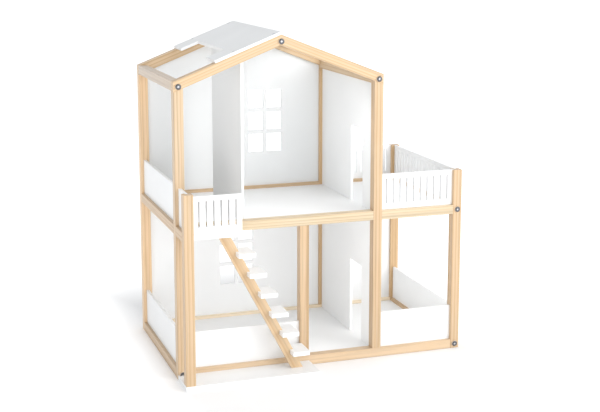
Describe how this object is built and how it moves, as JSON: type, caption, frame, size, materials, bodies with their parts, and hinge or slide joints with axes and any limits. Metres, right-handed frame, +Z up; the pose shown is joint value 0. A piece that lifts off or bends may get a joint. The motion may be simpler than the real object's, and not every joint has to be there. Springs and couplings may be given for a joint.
{
  "type": "dollhouse",
  "caption": "Open wooden dollhouse with a gabled house, side annex, deck, balcony and steep stair, framed in pine sticks with white boards.",
  "frame": {"origin": "on the ground, under the middle of the whole dollhouse's bounding box", "axes": "+X along the front from the house to the annex, +Y from the open front to the back walls, +Z up"},
  "size_m": [0.637, 0.4356, 0.7114],
  "materials": {
    "pine": "clear matt varnish over straight-grained pine",
    "white_board": "smooth satin white paint on thin board",
    "bolt_steel": "dark nickel-plated",
    "zinc_steel": "zinc-plated",
    "beech_dowel": "raw"
  },
  "bodies": {
    "root": {"annex_back_beam": "pine", "annex_back_panel": "white_board", "annex_back_post": "pine", "annex_back_railing": "white_board", "annex_front_beam": "pine", "annex_front_parapet": "white_board", "annex_front_post": "pine", "annex_front_railing": "white_board", "annex_side_base_rail": "pine", "annex_side_beam": "pine", "annex_side_parapet": "white_board", "annex_side_railing": "white_board", "back_base_rail": "pine", "back_floor_beam": "pine", "back_left_post": "pine", "back_left_rafter": "pine", "back_right_post": "pine", "back_right_rafter": "pine", "balcony_floor": "white_board", "balcony_front_railing": "white_board", "balcony_side_rail": "pine", "balcony_side_railing": "white_board", "base_floor": "white_board", "deck_dowels": "beech_dowel", "frame_bolts": "bolt_steel", "frame_nuts": "zinc_steel", "front_base_rail": "pine", "front_center_post": "pine", "front_floor_beam": "pine", "front_left_parapet": "white_board", "front_left_post": "pine", "front_left_rafter": "pine", "front_right_post": "pine", "front_right_rafter": "pine", "left_base_rail": "pine", "left_eave_rail": "pine", "left_floor_rail": "pine", "left_parapet_lower": "white_board", "left_parapet_upper": "white_board", "lower_back_wall": "white_board", "lower_right_wall": "white_board", "partition": "white_board", "ridge_rail": "pine", "right_eave_rail": "pine", "roof_panel_left": "white_board", "roof_panel_right": "white_board", "roof_screws": "zinc_steel", "stair_stringer": "pine", "stair_tread_1": "white_board", "stair_tread_2": "white_board", "stair_tread_3": "white_board", "stair_tread_4": "white_board", "stair_tread_5": "white_board", "stair_tread_6": "white_board", "terrace_deck": "white_board", "terrace_post": "pine", "upper_back_wall": "white_board", "upper_floor": "white_board", "upper_right_wall": "white_board"}
  },
  "joints": []
}
